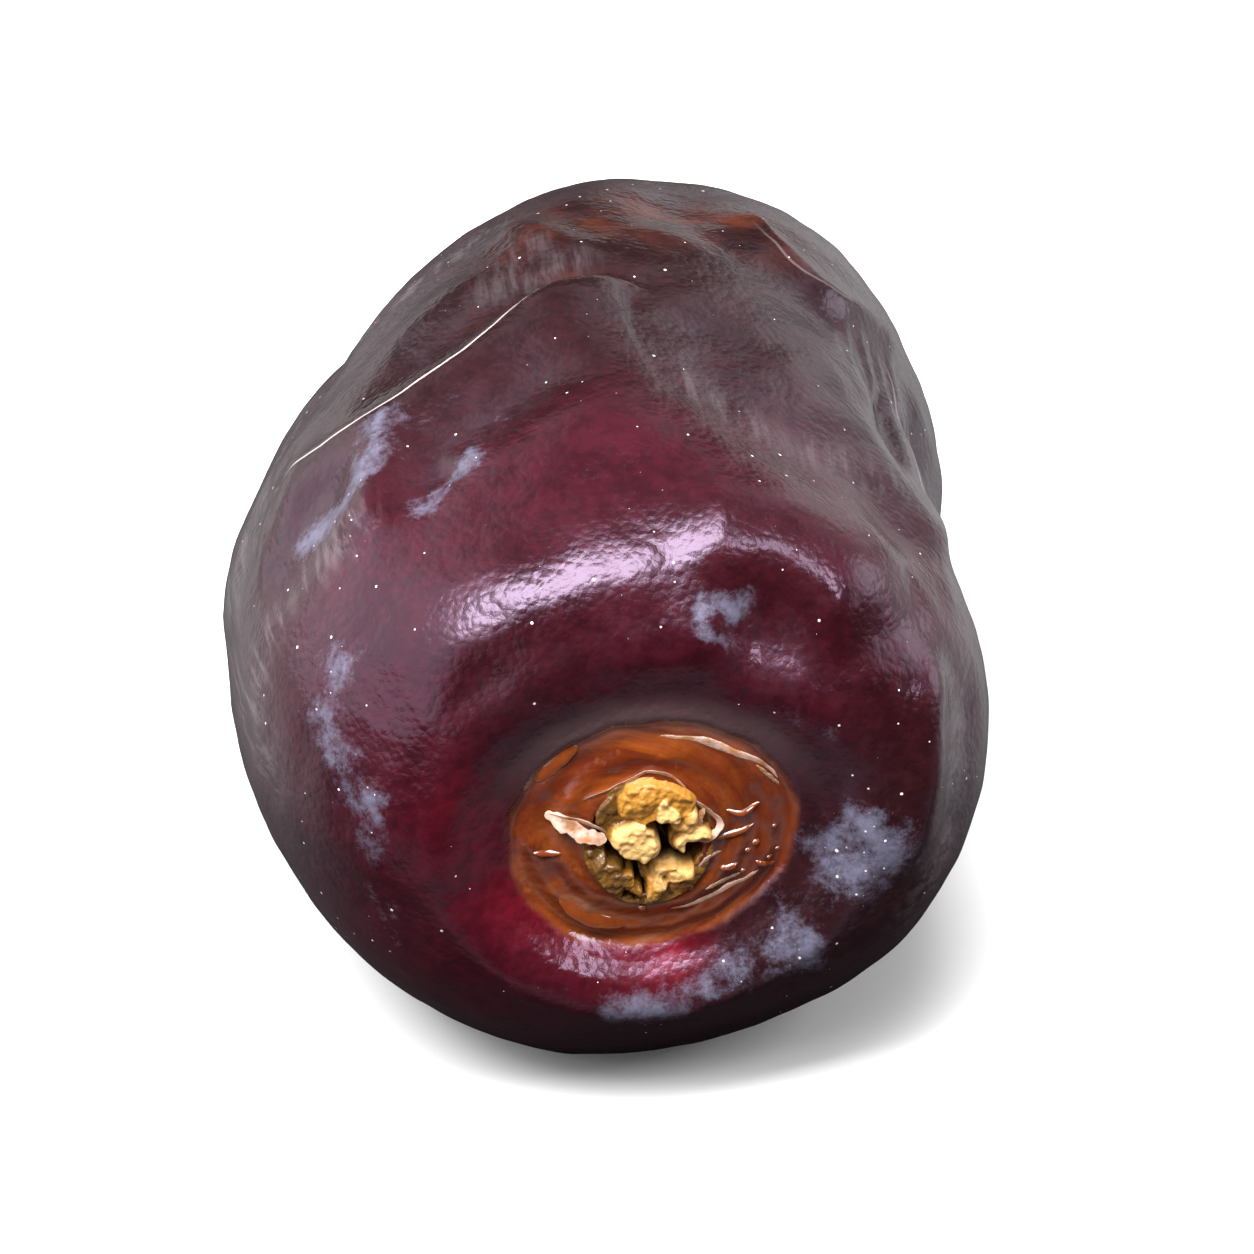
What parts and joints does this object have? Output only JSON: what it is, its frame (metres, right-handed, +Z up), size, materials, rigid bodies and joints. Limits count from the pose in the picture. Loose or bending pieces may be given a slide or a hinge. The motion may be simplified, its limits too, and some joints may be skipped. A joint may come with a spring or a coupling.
{
  "type": "date fruit",
  "caption": "Soft dark date without its cap, lying on its side, with glossy folded aubergine skin, an amber scar in a shallow basin at the stem end and a torn tuft of stalk fibres.",
  "frame": {"origin": "on the resting surface, under the middle of the fruit's outline", "axes": "+Z up, +Y from the stem end to the tip along the fruit, +X to the right of someone who faces the stem end"},
  "size_m": [0.0246, 0.0332, 0.0222],
  "materials": {
    "date_skin": "thin glossy aubergine skin with a blue-grey bloom and an amber scar",
    "stalk_fibre": "dry torn straw-yellow fibre"
  },
  "bodies": {
    "root": {"date_fruit": "date_skin", "stalk_fibres": "stalk_fibre"}
  },
  "joints": []
}
